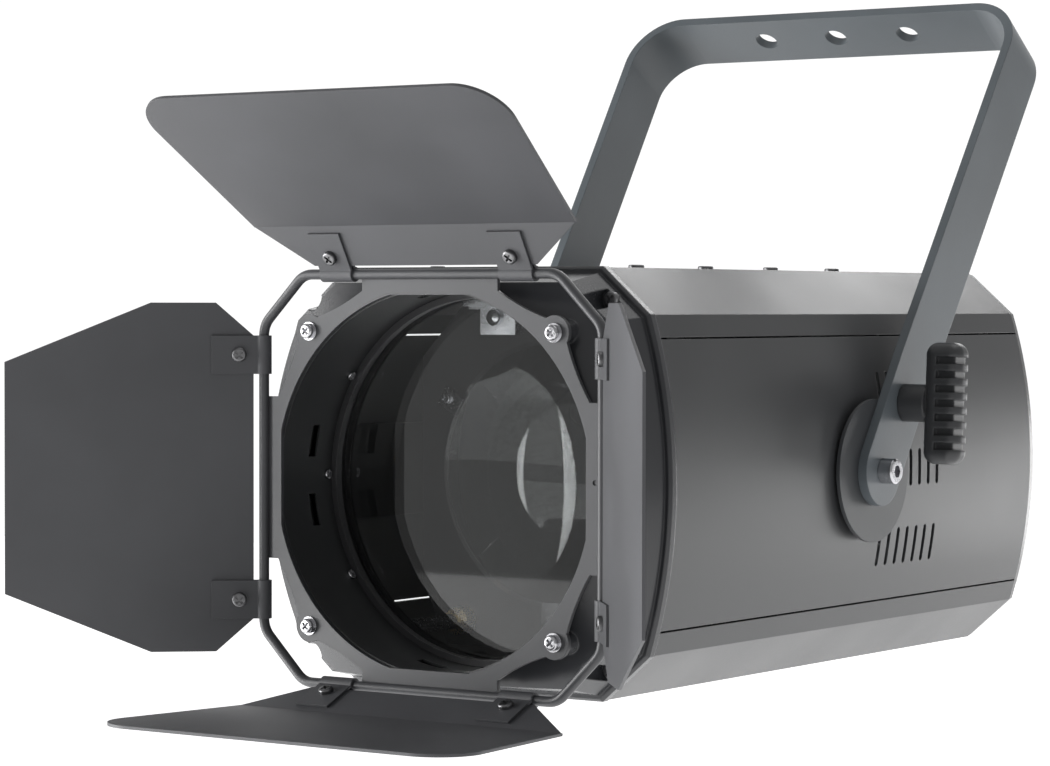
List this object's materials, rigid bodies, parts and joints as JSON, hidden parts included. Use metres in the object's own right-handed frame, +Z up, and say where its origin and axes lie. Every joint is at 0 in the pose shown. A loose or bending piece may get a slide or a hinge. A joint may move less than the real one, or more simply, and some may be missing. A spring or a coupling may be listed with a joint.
{
  "type": "follow spot",
  "caption": "Zoom follow spot: faceted tubular housing with vented sides and a recessed lens, hung from a leaning flat-bar yoke, with folding barn doors on a bent rod frame.",
  "frame": {"origin": "centre of the yoke's middle hole on its outer face, where a hanging clamp's bolt seats", "axes": "beam leaves towards -Y with the housing level, +Z up, +X towards the tilt clamp's side"},
  "size_m": [0.3802, 0.5721, 0.3647],
  "materials": {
    "yoke_paint": "satin powder coat",
    "housing_paint": "satin black powder coat on aluminium profile",
    "sheet_paint": "satin powder coat",
    "cast_paint": "satin black paint on a die casting",
    "barndoor_paint": "matt powder coat",
    "inner_paint": "matt black paint",
    "dark_screws": "blackened steel",
    "bright_steel": "zinc-plated steel",
    "driver_case": "plain folded case",
    "glass": "polished glass",
    "handle_plastic": "moulded nylon",
    "black_plastic": "moulded plastic",
    "brass": "turned",
    "aluminium": "anodised",
    "board_green": "solder mask",
    "led_white": "phosphor and white board",
    "screen": "smooth",
    "socket_metal": "die-cast nickel"
  },
  "bodies": {
    "yoke_body": {"yoke": "yoke_paint"},
    "tilt_clamp_body": {"tilt_clamp_handle": "handle_plastic"},
    "housing": {"left_side_panel": "housing_paint", "right_side_panel": "housing_paint", "top_cover": "housing_paint", "bottom_cover": "housing_paint", "rear_panel": "sheet_paint", "friction_discs": "sheet_paint", "front_bezel": "cast_paint", "rear_frame": "cast_paint", "barndoor_plate": "barndoor_paint", "barndoor_rod": "barndoor_paint", "light_tube": "inner_paint", "front_bulkhead": "inner_paint", "rear_bulkhead": "inner_paint", "fan_guard": "inner_paint", "glass_ring": "inner_paint", "housing_screws": "dark_screws", "corner_screws": "bright_steel", "pivot_bolts": "bright_steel", "glass_ring_screws": "bright_steel", "guide_rods": "bright_steel", "chassis_side_plates": "bright_steel", "lead_screw_bearing": "bright_steel", "safety_eye": "bright_steel", "power_supply": "driver_case", "front_glass": "glass", "fan_frame": "black_plastic", "power_inlet": "black_plastic", "fuse_holder": "black_plastic", "zoom_motor": "black_plastic", "heat_sink": "aluminium", "led_reflector": "aluminium", "control_board": "board_green", "led_module": "led_white", "display": "screen", "data_sockets": "socket_metal"},
    "zoom_carriage": {"carriage_plate": "inner_paint", "lens": "glass", "lens_clips": "bright_steel", "carriage_bushings": "brass", "screw_nut": "brass"},
    "zoom_screw": {"lead_screw": "bright_steel"},
    "fan_wheel": {"fan_rotor": "black_plastic"},
    "top_barndoor": {"top_leaf": "barndoor_paint", "top_leaf_clips": "barndoor_paint", "top_leaf_screws": "dark_screws"},
    "bottom_barndoor": {"bottom_leaf": "barndoor_paint", "bottom_leaf_clips": "barndoor_paint", "bottom_leaf_screws": "dark_screws"},
    "left_barndoor": {"left_leaf": "barndoor_paint", "left_leaf_clips": "barndoor_paint", "left_leaf_screws": "dark_screws"},
    "right_barndoor": {"right_leaf": "barndoor_paint", "right_leaf_clips": "barndoor_paint", "right_leaf_screws": "dark_screws"},
    "button_1": {"menu_button_1": "black_plastic"},
    "button_2": {"menu_button_2": "black_plastic"},
    "button_3": {"menu_button_3": "black_plastic"},
    "button_4": {"menu_button_4": "black_plastic"}
  },
  "joints": [
    {"name": "housing_tilt", "type": "hinge", "parent": "yoke_body", "child": "housing", "pos_m": [0, -0.16751, -0.24283], "axis": [1, 0, 0], "range_deg": [-70, 80]},
    {"name": "tilt_clamp_turn", "type": "hinge", "parent": "yoke_body", "child": "tilt_clamp_body", "pos_m": [0.12, -0.14366, -0.20825], "axis": [1, 0, 0], "range_deg": [0, 180]},
    {"name": "zoom_slide", "type": "slide", "parent": "housing", "child": "zoom_carriage", "axis": [0, 1, 0], "range_m": [-0.028, 0.09]},
    {"name": "zoom_screw_turn", "type": "hinge", "parent": "housing", "child": "zoom_screw", "pos_m": [-0.004, -0.23951, -0.16382], "axis": [0, 1, 0], "range_deg": [-4100, 1300]},
    {"name": "fan_spin", "type": "hinge", "parent": "housing", "child": "fan_wheel", "pos_m": [0, 0.00549, -0.22282], "axis": [0, 1, 0], "continuous": true},
    {"name": "top_leaf_hinge", "type": "hinge", "parent": "housing", "child": "top_barndoor", "pos_m": [0, -0.40051, -0.14283], "axis": [1, 0, 0], "range_deg": [-65, 57]},
    {"name": "bottom_leaf_hinge", "type": "hinge", "parent": "housing", "child": "bottom_barndoor", "pos_m": [0, -0.40051, -0.34282], "axis": [-1, 0, 0], "range_deg": [-101, 21]},
    {"name": "left_leaf_hinge", "type": "hinge", "parent": "housing", "child": "left_barndoor", "pos_m": [-0.1, -0.40051, -0.24283], "axis": [0, 0, 1], "range_deg": [-76, 89]},
    {"name": "right_leaf_hinge", "type": "hinge", "parent": "housing", "child": "right_barndoor", "pos_m": [0.1, -0.40051, -0.24283], "axis": [0, 0, -1], "range_deg": [-84, 81]},
    {"name": "button_1_press", "type": "slide", "parent": "housing", "child": "button_1", "axis": [0, -1, 0], "range_m": [0, 0.0015], "stiffness_N_per_m": 400, "springref_m": -0.001},
    {"name": "button_2_press", "type": "slide", "parent": "housing", "child": "button_2", "axis": [0, -1, 0], "range_m": [0, 0.0015], "stiffness_N_per_m": 400, "springref_m": -0.001},
    {"name": "button_3_press", "type": "slide", "parent": "housing", "child": "button_3", "axis": [0, -1, 0], "range_m": [0, 0.0015], "stiffness_N_per_m": 400, "springref_m": -0.001},
    {"name": "button_4_press", "type": "slide", "parent": "housing", "child": "button_4", "axis": [0, -1, 0], "range_m": [0, 0.0015], "stiffness_N_per_m": 400, "springref_m": -0.001}
  ],
  "couplings": [
    {"joint": "zoom_screw_turn", "follows": "zoom_slide", "rad_per_m": -785.4}
  ]
}
